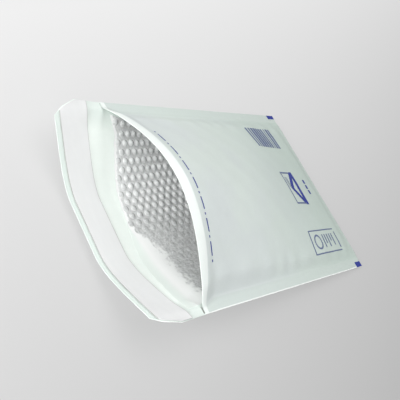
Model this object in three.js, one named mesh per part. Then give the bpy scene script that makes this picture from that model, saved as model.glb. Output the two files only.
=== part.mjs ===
// A white padded mailing envelope that lies open on a table: a paper pocket folded from one sheet,
// a bubble film lining, and a flap that carries a band of glue under a peel-off liner.
// Millimetres. X runs across the envelope, Y from the mouth to the folded end, and Z is up.
import * as THREE from 'three';
import { mergeVertices, toCreasedNormals } from 'three/addons/utils/BufferGeometryUtils.js';

// Driving dimensions of the paper, measured on the flat envelope.
const ENVELOPE_WIDTH = 200;
const ENVELOPE_LENGTH = 275;
const SEAM_WIDTH = 10;
const MOUTH_SEAM_WIDTH = 5;
const SEAM_FLARE_LENGTH = 18;
const PAPER_THICKNESS = 0.4;
const LIP_LENGTH = 9.4;

// Driving dimensions of the flap, measured along the paper from the mouth.
const FLAP_LENGTH = 46;
const FLAP_STRAIGHT_SIDE = 27;
const FLAP_CORNER_CUT = 16;

// How the envelope lies open: the mouth's corners draw together and the panels bow apart.
const MOUTH_SQUEEZE = 15.5;
const REST_STRIP = 44;
const TROUGH_ROUNDING = 24;
const FLAP_CENTRE_LIFT = 7.5;
const FLAP_CORNER_LIFT = 7.5;
const FLAP_CURL = 1.2;

// Driving dimensions of the padding.
const PAD_HEIGHT = 3.2;
const PAD_RAMP = 14;
const FILM_THICKNESS = 0.4;
const FILM_SIDE_MARGIN = 5;
const FILM_FROM_MOUTH = 1;
const BUBBLE_PITCH = 8.5;
const BUBBLE_HEIGHT = 2.8;
const BUBBLE_SHARE_OF_GAP = 0.42;

// Driving dimensions of the closing strip.
const LINER_WIDTH = 26;
const LINER_FROM_EDGE = 4.2;
const LINER_SIDE_MARGIN = 0.5;
const LINER_THICKNESS = 0.3;
const GLUE_MARGIN = 3;
const GLUE_THICKNESS = 0.2;

// Clearance between sheets that lie on each other.
const SHEET_GAP = 0.25;

// Finishes.
const WHITE_PAPER = { color: 0xe6edea, roughness: 0.75 };
const CLEAR_FILM = { color: 0xc3c8c7, roughness: 0.25 };
const SOFT_GLUE = { color: 0xe3dcc2, roughness: 0.35 };
const COATED_LINER = { color: 0xe8eae9, roughness: 0.5 };

// Fineness of the surfaces.
const SIDE_COLUMNS = 3;
const PANEL_ROWS = 6;
const FOLD_STEPS = 4;
const LENGTH_STEPS = 64;
const SEARCH_STEPS = 40;
const TANGENT_STEP = 0.01;
const WELD_DISTANCE = 1e-4;
const CREASE_ANGLE = Math.PI / 4;

const halfWidth = ENVELOPE_WIDTH / 2;
const pocketHalf = halfWidth - SEAM_WIDTH;
const mouthFlatHalf = halfWidth - MOUTH_SEAM_WIDTH;
const mouthDrawnHalf = mouthFlatHalf - MOUTH_SQUEEZE / 2;
const endRadius = PAD_HEIGHT + PAPER_THICKNESS;
const foldStart = ENVELOPE_LENGTH - endRadius;
const linerOuter = FLAP_LENGTH - LINER_FROM_EDGE;
const linerInner = linerOuter - LINER_WIDTH;
const linerHalf = halfWidth - LINER_SIDE_MARGIN;
const glueOuter = linerOuter - GLUE_MARGIN;
const glueInner = linerInner + GLUE_MARGIN;
const glueDepth = PAPER_THICKNESS + SHEET_GAP;
const linerDepth = glueDepth + GLUE_THICKNESS + SHEET_GAP;
const filmDepth = PAPER_THICKNESS + SHEET_GAP;
const filmHalf = pocketHalf - FILM_SIDE_MARGIN;

const clamp01 = (value) => Math.min(Math.max(value, 0), 1);

// Section of the upper panel, from 1 at the middle to 0 at the side seam.
function archShare(s) {
  return Math.cos((Math.PI / 2) * Math.min(Math.abs(s) / pocketHalf, 1));
}

// Section of the lower panel, from 0 on the strip that rests on the table to 1 at the given half width.
function troughShare(s, half) {
  const rest = REST_STRIP / 2;
  const soft = (distance) => Math.hypot(TROUGH_ROUNDING, distance) - TROUGH_ROUNDING;
  const distance = Math.min(Math.max(Math.abs(s) - rest, 0), half - rest);
  return soft(distance) / soft(half - rest);
}

const pocketTrough = (s) => troughShare(s, pocketHalf);
const padShare = (s) => clamp01((pocketHalf - Math.abs(s)) / PAD_RAMP);

// Height of a bowed section whose paper is still as long as it was when flat.
function bowHeight(section) {
  const lengthAt = (height) => {
    let length = 0;
    for (let k = 0; k < LENGTH_STEPS; k += 1) {
      const from = section((pocketHalf * k) / LENGTH_STEPS);
      const to = section((pocketHalf * (k + 1)) / LENGTH_STEPS);
      length += Math.hypot(mouthDrawnHalf / LENGTH_STEPS, height * (to - from));
    }
    return length;
  };
  let low = 0;
  let high = mouthFlatHalf;
  for (let k = 0; k < SEARCH_STEPS; k += 1) {
    const middle = (low + high) / 2;
    if (lengthAt(middle) < mouthFlatHalf) {
      low = middle;
    } else {
      high = middle;
    }
  }
  return (low + high) / 2;
}

const mouthRise = bowHeight(archShare);
const mouthDrop = bowHeight(pocketTrough);

// How far the pocket gapes: 1 at the mouth, 0 at the folded end.
const openShare = (y) => 1 - y / foldStart;
const seamHeight = (y) => PAPER_THICKNESS + PAD_HEIGHT + mouthDrop * openShare(y);

// The seams are bonded less far in at the mouth than along the rest of the pocket.
function seamWidth(y) {
  const share = THREE.MathUtils.smoothstep(y, 0, SEAM_FLARE_LENGTH);
  return THREE.MathUtils.lerp(MOUTH_SEAM_WIDTH, SEAM_WIDTH, share);
}

// Place across the envelope of a point that lies s from the middle, where the full seams begin at pocketHalf.
function across(s, y, squeeze) {
  const reach = Math.abs(s);
  const seam = seamWidth(y);
  const drawn = halfWidth - seam - squeeze / 2;
  const isBonded = reach > pocketHalf;
  const x = isBonded ? drawn + ((reach - pocketHalf) * seam) / SEAM_WIDTH : (reach * drawn) / pocketHalf;
  return Math.sign(s) * x;
}

function lowerPoint(s, y) {
  const open = openShare(y);
  const fall = mouthDrop * open * (1 - pocketTrough(s)) + PAD_HEIGHT * padShare(s);
  return new THREE.Vector3(across(s, y, MOUTH_SQUEEZE * open), y, seamHeight(y) - PAPER_THICKNESS - fall);
}

function upperPoint(s, y) {
  const open = openShare(y);
  const rise = mouthRise * open * archShare(s) + PAD_HEIGHT * padShare(s) * clamp01(y / LIP_LENGTH);
  return new THREE.Vector3(across(s, y, MOUTH_SQUEEZE * open), y, seamHeight(y) + PAPER_THICKNESS + rise);
}

// Half width of the flap, whose outer corners are cut away.
function flapHalf(distance) {
  const cornerShare = clamp01((distance - FLAP_STRAIGHT_SIDE) / (FLAP_LENGTH - FLAP_STRAIGHT_SIDE));
  return halfWidth - FLAP_CORNER_CUT * cornerShare;
}

// The flap goes on from the lower panel and curls up towards its free edge.
function flapPoint(s, distance) {
  const flat = (s / halfWidth) * flapHalf(distance);
  const out = distance / FLAP_LENGTH;
  const root = lowerPoint(flat, 0);
  const cornerHeight = seamHeight(0) + FLAP_CORNER_LIFT;
  const edgeHeight = THREE.MathUtils.lerp(FLAP_CENTRE_LIFT, cornerHeight, troughShare(flat, halfWidth));
  const z = THREE.MathUtils.lerp(root.z, edgeHeight, out ** FLAP_CURL);
  const reach = Math.sqrt(Math.max(distance ** 2 - (z - root.z) ** 2, 0));
  return new THREE.Vector3(across(flat, 0, MOUTH_SQUEEZE), -reach, z);
}

// Unit normal of a surface, from its tangents along its two parameters.
function surfaceNormal(surface, s, t) {
  const alongS = surface(s + TANGENT_STEP, t).sub(surface(s - TANGENT_STEP, t));
  const alongT = surface(s, t + TANGENT_STEP).sub(surface(s, t - TANGENT_STEP));
  return alongS.cross(alongT).normalize();
}

// A row is one line across the paper's outer face, with the direction into the sheet at each point.
const inSeam = (s) => Math.abs(s) >= pocketHalf;

function flapRow(distance) {
  return (s) => ({
    point: flapPoint(s, distance),
    inward: surfaceNormal(flapPoint, s, distance).negate(),
  });
}

function lowerRow(y) {
  return (s) => ({
    point: lowerPoint(s, y),
    inward: inSeam(s) ? new THREE.Vector3(0, 0, 1) : surfaceNormal(lowerPoint, s, y),
  });
}

function upperRow(y) {
  return (s) => ({
    point: upperPoint(s, y),
    inward: inSeam(s) ? new THREE.Vector3(0, 0, -1) : surfaceNormal(upperPoint, s, y).negate(),
  });
}

// The folded end turns through half a circle that is as thick as the padding at each place.
function foldRow(angle) {
  return (s) => {
    const lower = lowerPoint(s, foldStart);
    const upper = upperPoint(s, foldStart);
    const radius = (upper.z - lower.z) / 2;
    const inward = new THREE.Vector3(0, -Math.sin(angle), Math.cos(angle));
    const centre = new THREE.Vector3(lower.x, ENVELOPE_LENGTH - radius, (upper.z + lower.z) / 2);
    return { point: centre.addScaledVector(inward, -radius), inward };
  };
}

// A layer of the sheet: the rows' points moved inward by a depth.
function layer(rows, columns, depth) {
  return rows.map((row) => columns.map((s) => {
    const { point, inward } = row(s);
    return point.addScaledVector(inward, depth);
  }));
}

// Distances along a line of points, from its first point to each of them.
function runLengths(line) {
  const lengths = [0];
  for (let k = 1; k < line.length; k += 1) {
    lengths.push(lengths[k - 1] + line[k].distanceTo(line[k - 1]));
  }
  return lengths;
}

// A closed skin that is put together from triangles and welded along their shared edges.
class Skin {
  corners = [];

  triangle(a, b, c) {
    this.corners.push(a, b, c);
  }

  quad(a, b, c, d) {
    this.triangle(a, b, c);
    this.triangle(a, c, d);
  }

  // A face over a grid of points, or over those of its cells that are kept. Both sides of a sheet
  // split their cells along the same diagonal, so that they stay parallel.
  grid(rows, flipped, keeps = () => true) {
    for (let j = 0; j + 1 < rows.length; j += 1) {
      for (let i = 0; i + 1 < rows[j].length; i += 1) {
        const [near, far] = [rows[j], rows[j + 1]];
        const [left, right] = flipped ? [far[i], near[i + 1]] : [near[i + 1], far[i]];
        if (keeps(j, i)) {
          this.quad(near[i], left, far[i + 1], right);
        }
      }
    }
  }

  // An edge face between two lines that may differ in their number of points.
  zip(first, second) {
    const [firstLengths, secondLengths] = [runLengths(first), runLengths(second)];
    const share = (lengths, k) => (k < lengths.length ? lengths[k] / lengths[lengths.length - 1] : Infinity);
    let i = 0;
    let j = 0;
    while (i + 1 < first.length || j + 1 < second.length) {
      if (share(firstLengths, i + 1) <= share(secondLengths, j + 1)) {
        this.triangle(first[i], first[i + 1], second[j]);
        i += 1;
      } else {
        this.triangle(first[i], second[j + 1], second[j]);
        j += 1;
      }
    }
  }

  // The four cut edges between an outer and an inner face.
  rim(outer, inner) {
    const side = (rows, last) => rows.map((row) => row[last ? row.length - 1 : 0]);
    this.zip(outer[0], inner[0]);
    this.zip(inner[inner.length - 1], outer[outer.length - 1]);
    this.zip(side(inner, false), side(outer, false));
    this.zip(side(outer, true), side(inner, true));
  }

  geometry() {
    const loose = new THREE.BufferGeometry().setFromPoints(this.corners);
    const welded = mergeVertices(loose, WELD_DISTANCE);
    const index = welded.getIndex().array;
    const kept = [];
    for (let k = 0; k < index.length; k += 3) {
      const [a, b, c] = index.slice(k, k + 3);
      if (a !== b && b !== c && c !== a) {
        kept.push(a, b, c);
      }
    }
    welded.setIndex(kept);
    return toCreasedNormals(welded, CREASE_ANGLE);
  }
}

// Values at even steps from one end to the other.
function spread(from, to, count) {
  return Array.from({ length: count + 1 }, (_, k) => from + ((to - from) * k) / count);
}

// Lines along the paper: the panel up to the film's edges, the seams' inner edges, and the outer edges.
const sideColumns = [...spread(REST_STRIP / 2, pocketHalf - PAD_RAMP, SIDE_COLUMNS), filmHalf];
const panelColumns = [...sideColumns.map((s) => -s).reverse(), 0, ...sideColumns];
const paperColumns = [-halfWidth, -pocketHalf, ...panelColumns, pocketHalf, halfWidth];

// Distances from the mouth at which the flap's surface bends, or carries an edge of the strips on it.
const flapDistances = [
  FLAP_LENGTH, linerOuter, glueOuter, FLAP_STRAIGHT_SIDE, glueInner, linerInner, linerInner / 2,
].sort((a, b) => b - a);

const panelPlaces = spread(LIP_LENGTH, foldStart, PANEL_ROWS).slice(0, -1);
const foldAngles = spread(0, Math.PI, FOLD_STEPS);
const linedRows = [
  lowerRow(FILM_FROM_MOUTH),
  ...panelPlaces.map(lowerRow),
  ...foldAngles.map(foldRow),
  ...panelPlaces.toReversed().map(upperRow),
];

// One sheet from the flap's edge, along the lower panel, round the fold and back to the upper mouth edge.
// Its two panels are bonded to each other along the side seams.
function paperGeometry() {
  const flapRows = flapDistances.map(flapRow);
  const rows = [...flapRows, lowerRow(0), ...linedRows, upperRow(FILM_FROM_MOUTH), upperRow(0)];
  const outer = layer(rows, paperColumns, 0);
  const inner = layer(rows, paperColumns, PAPER_THICKNESS);
  const lastCell = paperColumns.length - 2;
  const isFree = (j, i) => j < flapRows.length || (i > 0 && i < lastCell);
  const skin = new Skin();
  skin.grid(outer, true);
  skin.grid(inner, false, isFree);
  skin.rim(outer, inner);
  return skin.geometry();
}

// Height of the space between the two films at a place in the pocket.
function filmGap(s, y) {
  const paperGap = upperPoint(s, y).z - lowerPoint(s, y).z - 2 * PAPER_THICKNESS;
  return Math.max(paperGap - 2 * (SHEET_GAP + FILM_THICKNESS), 0);
}

// The film is one sheet too, folded inside the paper, with its bubbles standing into the pocket.
// Bubbles lie in rows along the envelope, and each row is half a pitch out of step with the next.
function liningGeometry() {
  const outer = layer(linedRows, panelColumns, filmDepth);
  const inner = layer(linedRows, panelColumns, filmDepth + FILM_THICKNESS);
  const middle = Math.floor(panelColumns.length / 2);
  const along = runLengths(outer.map((row) => row[middle]));
  const length = along[along.length - 1];

  // Point of the film's inner face at a place across it and a distance along it.
  const cellOf = (values, value) => {
    const next = values.findIndex((limit, k) => k > 0 && value <= limit);
    const end = next < 0 ? values.length - 1 : next;
    return { end, share: (value - values[end - 1]) / (values[end] - values[end - 1]) };
  };
  const onGrid = (grid, s, distance) => {
    const column = cellOf(panelColumns, s);
    const row = cellOf(along, distance);
    const [near, far] = [grid[row.end - 1], grid[row.end]];
    const start = near[column.end - 1];
    const end = far[column.end];
    const isRight = column.share > row.share;
    const turn = isRight ? near[column.end] : far[column.end - 1];
    const [first, second] = isRight ? [column.share, row.share] : [row.share, column.share];
    return start.clone().addScaledVector(turn, first - second).addScaledVector(start, -first)
      .addScaledVector(end, second);
  };

  const rowCount = Math.round((2 * filmHalf) / (BUBBLE_PITCH * Math.sin(Math.PI / 3)));
  const stepCount = 2 * Math.round(length / BUBBLE_PITCH);
  const rowWidth = (2 * filmHalf) / rowCount;
  const step = length / stepCount;
  const zigzag = (step * Math.tan(Math.PI / 6)) / 2;
  const isCentre = (row, m) => (row + m) % 2 === 1;

  // Corners of the bubbles, on the lines between one row and the next.
  const corner = (b, m) => {
    const isBorder = b === 0 || b === rowCount;
    const shift = isBorder ? 0 : zigzag * (isCentre(b, m) ? -1 : 1);
    return onGrid(inner, -filmHalf + b * rowWidth + shift, m * step);
  };
  const cornerRow = (m) => spread(0, rowCount, rowCount).map((b) => corner(b, m));
  const corners = spread(0, stepCount, stepCount).map(cornerRow);

  // Bubbles are full where the pocket gapes, and pressed flat near the seams and the folded end.
  const crown = (row, m) => {
    const s = -filmHalf + (row + 0.5) * rowWidth;
    const foot = onGrid(inner, s, m * step);
    const direction = foot.clone().sub(onGrid(outer, s, m * step)).normalize();
    const room = foot.y < foldStart ? filmGap(s, foot.y) : 0;
    return foot.addScaledVector(direction, Math.min(BUBBLE_HEIGHT, BUBBLE_SHARE_OF_GAP * room));
  };

  const skin = new Skin();
  skin.grid(outer, true);
  skin.rim(outer, corners);
  const wholeBubble = (row, m) => {
    const top = crown(row, m);
    const left = [corners[m - 1][row], corners[m][row], corners[m + 1][row]];
    const right = [corners[m + 1][row + 1], corners[m][row + 1], corners[m - 1][row + 1]];
    const ring = [...left, ...right];
    ring.forEach((start, k) => skin.triangle(top, ring[(k + 1) % ring.length], start));
  };
  const cutBubble = (row, from, to) => {
    skin.quad(corners[from][row], corners[from][row + 1], corners[to][row + 1], corners[to][row]);
  };
  for (let row = 0; row < rowCount; row += 1) {
    for (let m = 1; m < stepCount; m += 1) {
      if (isCentre(row, m)) {
        wholeBubble(row, m);
      }
    }
    if (isCentre(row, 0)) {
      cutBubble(row, 0, 1);
      cutBubble(row, stepCount - 1, stepCount);
    }
  }
  return skin.geometry();
}

// A strip that lies on the flap's upper face, between two distances from the mouth.
function stripGeometry(innerEdge, outerEdge, half, depth, thickness) {
  const rows = flapDistances.filter((d) => d >= innerEdge && d <= outerEdge).map(flapRow);
  const columns = [-half, ...paperColumns.filter((s) => Math.abs(s) < half), half];
  const bottom = layer(rows, columns, depth);
  const top = layer(rows, columns, depth + thickness);
  const skin = new Skin();
  skin.grid(bottom, true);
  skin.grid(top, false);
  skin.rim(bottom, top);
  return skin.geometry();
}

// The glue ends where the side seams begin, and the liner covers it from side to side.
const glueGeometry = () => stripGeometry(glueInner, glueOuter, pocketHalf, glueDepth, GLUE_THICKNESS);
const linerGeometry = () => stripGeometry(linerInner, linerOuter, linerHalf, linerDepth, LINER_THICKNESS);

function piece(name, geometry, finish) {
  const mesh = new THREE.Mesh(geometry, new THREE.MeshStandardMaterial({ ...finish, metalness: 0 }));
  mesh.name = name;
  return mesh;
}

const envelope = new THREE.Group();
envelope.add(
  piece('paper_pocket', paperGeometry(), WHITE_PAPER),
  piece('bubble_lining', liningGeometry(), CLEAR_FILM),
  piece('glue_band', glueGeometry(), SOFT_GLUE),
  piece('release_liner', linerGeometry(), COATED_LINER),
);

// The origin is the middle of the envelope's outline on the table.
const outline = new THREE.Box3().setFromObject(envelope);
envelope.position.y = -(outline.min.y + outline.max.y) / 2;

export default envelope;
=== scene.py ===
"""An open bubble mailer: a white paper pocket, its bubble film, the strips on its flap and its print."""

import logging
import math
from collections.abc import Callable, Mapping, Sequence
from dataclasses import asdict, dataclass
from enum import Enum
from functools import cached_property

import bpy
import numpy as np
from mathutils import Matrix, Vector

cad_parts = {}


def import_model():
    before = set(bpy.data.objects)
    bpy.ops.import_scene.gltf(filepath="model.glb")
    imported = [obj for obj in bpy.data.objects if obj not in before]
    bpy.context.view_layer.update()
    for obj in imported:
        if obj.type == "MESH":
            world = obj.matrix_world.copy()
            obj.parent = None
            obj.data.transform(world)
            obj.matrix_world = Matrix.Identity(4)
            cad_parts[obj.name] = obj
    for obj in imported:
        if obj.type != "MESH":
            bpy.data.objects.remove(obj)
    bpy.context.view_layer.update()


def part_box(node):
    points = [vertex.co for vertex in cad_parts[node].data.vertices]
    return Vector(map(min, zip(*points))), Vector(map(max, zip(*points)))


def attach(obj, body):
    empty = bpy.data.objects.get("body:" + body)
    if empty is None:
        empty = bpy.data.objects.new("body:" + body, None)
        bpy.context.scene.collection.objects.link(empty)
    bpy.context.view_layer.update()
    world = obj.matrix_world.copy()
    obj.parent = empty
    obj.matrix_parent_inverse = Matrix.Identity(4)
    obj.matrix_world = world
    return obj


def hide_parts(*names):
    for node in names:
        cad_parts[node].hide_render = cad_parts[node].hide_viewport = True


LOG = logging.getLogger("bubble_mailer")
MM = 0.001
WELDS_PER_MM = 1000.0
BODY = "root"

Array = np.ndarray
Mesh = bpy.types.Mesh
Triple = tuple[float, float, float]
Colour = Triple
Place = Triple
Span = tuple[float, float]
Spot = tuple[float, float]
Options = Mapping[str | int, object]


class Panel(Enum):
    """Parts of the one paper sheet, in their order along it."""

    FLAP = "flap"
    LOWER = "lower"
    FOLD = "fold"
    UPPER = "upper"


class Layer(Enum):
    """Sides of a sheet, by the value that its points carry."""

    OUTSIDE = 0.0
    INSIDE = 1.0


@dataclass(frozen=True)
class Row:
    """One line across the sheet: its panel, its place there in millimetres or radians, and its slant."""

    panel: Panel
    place: float
    slant: float = 0.0


def soft_step(share: Array) -> Array:
    """Returns a share from 0 to 1 with level ends."""
    t = np.clip(share, 0.0, 1.0)
    return t * t * (3.0 - 2.0 * t)


def level_off(share: Array, rounding: float) -> Array:
    """Returns a share that rises evenly and levels off at 1 through a small rounding."""
    return (share + 1.0 - np.hypot(share - 1.0, rounding)) / 2.0


@dataclass(frozen=True)
class EnvelopeForm:
    """Flat sizes of the envelope and how it lies open, in millimetres from the middle of the mouth.

    Places across the flat sheet have the seams' inner edges at the pocket's half width. A wave of the upper
    panel has a height and two factors, and a factor has its turn per millimetre across and along the panel,
    and its start.
    """

    mouth_y: float
    width: float = 200.0
    length: float = 275.0
    seam: float = 10.0
    mouth_seam: float = 5.0
    seam_flare: float = 18.0
    paper: float = 0.4
    lip: float = 9.4
    lip_rounding: float = 0.12
    lip_drop: float = 0.6
    flap: float = 46.0
    flap_straight: float = 27.0
    flap_corner_cut: float = 16.0
    flap_curl: float = 1.2
    mouth_squeeze: float = 15.5
    rest_strip: float = 44.0
    trough_rounding: float = 24.0
    flap_centre_lift: float = 7.5
    flap_corner_lift: float = 7.5
    pad_height: float = 3.2
    pad_ramp: float = 14.0
    pressed_share: float = 0.6
    pressed_run: float = 16.0
    slant_end: float = 77.0
    slant_return: float = 4.2
    waves: tuple[tuple[float, Triple, Triple], ...] = (
        (0.45, (0.052, 0.021, 0.6), (-0.017, 0.034, 1.1)),
        (0.16, (0.19, -0.07, 2.0), (0.05, 0.11, 0.0)),
    )
    pucker: float = 0.35
    pucker_turn: float = 0.23
    pucker_sway: float = 1.4
    sway_turn: float = 0.05
    pucker_from: float = 0.72
    pucker_run: float = 0.2
    calm_mouth: float = 26.0
    calm_end: float = 14.0
    bow_points: int = 65
    bow_halvings: int = 40
    tangent_step: float = 0.01

    @property
    def half(self) -> float:
        """Half the width of the flat paper."""
        return self.width / 2.0

    @property
    def pocket_half(self) -> float:
        """Half the width between the bonded seams."""
        return self.half - self.seam

    @property
    def fold_start(self) -> float:
        """Distance from the mouth at which the closed end begins to turn."""
        return self.length - self.pad_height - self.paper

    @cached_property
    def rise(self) -> float:
        """Height that the upper panel bows up at the mouth."""
        return self._bow(self.arch)

    @cached_property
    def drop(self) -> float:
        """Depth that the lower panel bows down at the mouth."""
        return self._bow(lambda s: self.trough(s, self.pocket_half))

    def arch(self, s: Array) -> Array:
        """Section of the upper panel, from 1 at the middle to 0 at the seams."""
        return np.cos(np.pi / 2.0 * np.minimum(np.abs(s) / self.pocket_half, 1.0))

    def climb(self, distance: Array) -> Array:
        """Rise of the lower panel at a distance from its level strip, before it is scaled."""
        return np.hypot(self.trough_rounding, distance) - self.trough_rounding

    def trough(self, s: Array, half: float) -> Array:
        """Section of the lower panel, from 0 on its resting strip to 1 at the given half width."""
        rest = self.rest_strip / 2.0
        return self.climb(np.clip(np.abs(s) - rest, 0.0, half - rest)) / self.climb(half - rest)

    def pad(self, s: Array) -> Array:
        """Share of the padding's full height, across the pocket."""
        return soft_step((self.pocket_half - np.abs(s)) / self.pad_ramp)

    def padding(self, s: Array, y: Array) -> Array:
        """Height of the padding off the seams, which the crease of the closed end presses flatter."""
        pressed = soft_step((np.asarray(y) - self.fold_start) / self.pressed_run + 1.0)
        return self.pad_height * np.minimum(self.pad(s), 1.0 - self.pressed_share * pressed)

    def gape(self, y: Array) -> Array:
        """How far the pocket gapes, from 1 at the mouth to 0 at the closed end."""
        return 1.0 - np.asarray(y) / self.fold_start

    def seam_height(self, y: Array) -> Array:
        """Height of the bonded seams over the table."""
        return self.paper + self.pad_height + self.drop * self.gape(y)

    def across(self, s: Array, y: Array, squeeze: Array) -> Array:
        """Places across the envelope, whose seams are bonded less far in at the mouth.

        Args:
            s: Places across the sheet.
            y: Distances from the mouth.
            squeeze: How far the two seams are drawn together there.

        Returns:
            The places in millimetres.
        """
        reach = np.abs(s)
        seam = self.mouth_seam + (self.seam - self.mouth_seam) * soft_step(np.asarray(y) / self.seam_flare)
        drawn = self.half - seam - squeeze / 2.0
        bowed = reach * drawn / self.pocket_half
        bonded = drawn + (reach - self.pocket_half) * seam / self.seam
        return np.sign(s) * np.where(reach <= self.pocket_half, bowed, bonded)

    def ripple(self, s: Array, y: Array) -> Array:
        """Shallow waves of the padded upper panel, which its seams and its mouth edge do not have.

        Args:
            s: Places across the sheet.
            y: Distances from the mouth.

        Returns:
            Heights over the even panel.
        """
        sway = self.pucker_sway * np.sin(self.sway_turn * y)
        near_seam = soft_step((np.abs(s) / self.pocket_half - self.pucker_from) / self.pucker_run)
        height = self.pucker * np.sin(self.pucker_turn * y + sway) * near_seam
        for wave, *factors in self.waves:
            turns = [np.sin(across * s + along * y + start) for across, along, start in factors]
            height = height + wave * np.prod(turns, axis=0)
        calm = soft_step(np.asarray(y) / self.calm_mouth) * soft_step((self.fold_start - y) / self.calm_end)
        return height * self.pad(s) * calm

    def lip_share(self, y: Array) -> Array:
        """Share of the padding's height that the upper panel keeps at its lip, with no film behind it."""
        unlined = 1.0 - level_off(np.asarray(y) / self.lip, self.lip_rounding)
        return 1.0 - self.lip_drop * unlined

    def lower(self, s: Array, y: Array) -> Array:
        """Points of the lower panel's outer face."""
        fall = self.drop * self.gape(y) * (1.0 - self.trough(s, self.pocket_half)) + self.padding(s, y)
        return self._panel(s, y, self.seam_height(y) - self.paper - fall)

    def upper(self, s: Array, y: Array) -> Array:
        """Points of the upper panel's outer face."""
        bowed = self.seam_height(y) + self.paper + self.rise * self.gape(y) * self.arch(s)
        return self._panel(s, y, bowed + self.padding(s, y) * self.lip_share(y) + self.ripple(s, y))

    def flap_half(self, distance: Array) -> Array:
        """Half width of the flap, whose outer corners are cut away."""
        share = (np.asarray(distance) - self.flap_straight) / (self.flap - self.flap_straight)
        return self.half - self.flap_corner_cut * np.clip(share, 0.0, 1.0)

    def open_flap(self, s: Array, distance: Array) -> Array:
        """Points of the flap's outer face, which goes on from the lower panel and curls up.

        Args:
            s: Places across the sheet.
            distance: Distances out from the mouth.

        Returns:
            The points, of shape (..., 3).
        """
        flat = s / self.half * self.flap_half(distance)
        out = np.asarray(distance) / self.flap
        root = self.lower(flat, np.zeros_like(flat))[..., 2]
        corner = self.seam_height(0.0) + self.flap_corner_lift
        edge = self.flap_centre_lift + (corner - self.flap_centre_lift) * self.trough(flat, self.half)
        height = root + (edge - root) * np.maximum(out, 0.0) ** self.flap_curl
        reach = np.sqrt(np.maximum(distance**2 - (height - root) ** 2, 0.0))
        return self._points(self.across(flat, 0.0, self.mouth_squeeze), -reach, height)

    def lower_side(self, s: Array, y: Array) -> Array:
        """Points of the lower panel, or of the flap where the place lies before the mouth."""
        panel, flap = self.lower(s, np.maximum(y, 0.0)), self.open_flap(s, np.maximum(-y, 0.0))
        return np.where((y < 0.0)[..., None], flap, panel)

    def turned_end(self, s: Array, angle: float) -> tuple[Array, Array]:
        """Points of the closed end's outer face, which turns through half a circle.

        Args:
            s: Places across the sheet.
            angle: Angle of the turn, from 0 below to pi above.

        Returns:
            The points, and the directions into the sheet.
        """
        low, high = (surface(s, np.full_like(s, self.fold_start)) for surface in (self.lower, self.upper))
        radius = (high[:, 2] - low[:, 2]) / 2.0
        inward = np.tile((0.0, -math.sin(angle), math.cos(angle)), (len(s), 1))
        centre = (low + high) / 2.0
        centre[:, 1] = self.length + self.mouth_y - radius
        return centre - inward * radius[:, None], inward

    def line(self, row: Row, s: Array) -> tuple[Array, Array]:
        """Points of one row, with the direction into the sheet at each.

        Args:
            row: The row's panel and place.
            s: Places across the sheet.

        Returns:
            The points and the inward directions, both of shape (len(s), 3).
        """
        if row.panel is Panel.FOLD:
            return self.turned_end(s, row.place)
        surfaces = {Panel.FLAP: self.open_flap, Panel.LOWER: self.lower_side, Panel.UPPER: self.upper}
        surface = surfaces[row.panel]
        turned_back = self.slant_return * np.maximum(-s - self.slant_end, 0.0)
        place = row.place + row.slant * (s + turned_back)
        inward = self.normal(surface, s, place)
        if row.panel is not Panel.LOWER:
            inward = -inward
        if row.panel is not Panel.FLAP:
            inward[np.abs(s) >= self.pocket_half] = (0.0, 0.0, 1.0 if row.panel is Panel.LOWER else -1.0)
        return surface(s, place), inward

    def flap_lines(self, outer: float, inner: float, count: int) -> list[Row]:
        """Rows across the flap, one of which lies where its sides bend.

        Args:
            outer: Distance of the first row from the mouth.
            inner: Distance of the last row from the mouth.
            count: The number of rows.

        Returns:
            The rows.
        """
        places = np.linspace(outer, inner, count)
        if inner < self.flap_straight < outer:
            places[np.argmin(np.abs(places - self.flap_straight))] = self.flap_straight
        return [Row(Panel.FLAP, place) for place in places]

    def along(self, row: Row) -> float:
        """Distance of a row along the flat sheet.

        Args:
            row: The row.

        Returns:
            The distance in millimetres from the fold between flap and pocket.
        """
        turn = math.pi * self.pad_height
        return {
            Panel.FLAP: -row.place,
            Panel.LOWER: row.place,
            Panel.FOLD: self.fold_start + turn * row.place / math.pi,
            Panel.UPPER: 2.0 * self.fold_start + turn - row.place,
        }[row.panel]

    def normal(self, surface: Callable[[Array, Array], Array], s: Array, place: Array) -> Array:
        """Normals of a surface, from its tangents along its two parameters.

        Args:
            surface: Gives the surface's points.
            s: Places across the sheet.
            place: Places along it.

        Returns:
            The unit normals, of shape (..., 3).
        """
        step = self.tangent_step
        over_s = surface(s + step, place) - surface(s - step, place)
        over_place = surface(s, place + step) - surface(s, place - step)
        normal = np.cross(over_s, over_place)
        return normal / np.linalg.norm(normal, axis=-1, keepdims=True)

    def film_gap(self, s: Array, y: Array, film: float) -> Array:
        """Height of the space that is left in the pocket between two layers of the given depth."""
        gap = self.upper(s, y)[..., 2] - self.lower(s, y)[..., 2]
        return np.maximum(gap - 2.0 * film, 0.0)

    def _panel(self, s: Array, y: Array, height: Array) -> Array:
        """Points of a panel at the given height over the table."""
        return self._points(self.across(s, y, self.mouth_squeeze * self.gape(y)), y, height)

    def _points(self, x: Array, y: Array, z: Array) -> Array:
        """Stacks coordinates to points of the frame."""
        return np.stack(np.broadcast_arrays(x, y + self.mouth_y, z), axis=-1)

    def _bow(self, section: Callable[[Array], Array]) -> float:
        """Finds the height of a bowed section whose paper is still as long as it was when flat.

        Args:
            section: The section's shape, by the place across the sheet.

        Returns:
            The height.
        """
        flat = self.half - self.mouth_seam
        shape = np.diff(section(np.linspace(0.0, self.pocket_half, self.bow_points)))
        step = (flat - self.mouth_squeeze / 2.0) / len(shape)
        low, high = 0.0, flat
        for _ in range(self.bow_halvings):
            middle = (low + high) / 2.0
            if np.hypot(step, middle * shape).sum() < flat:
                low = middle
            else:
                high = middle
        return (low + high) / 2.0


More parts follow.
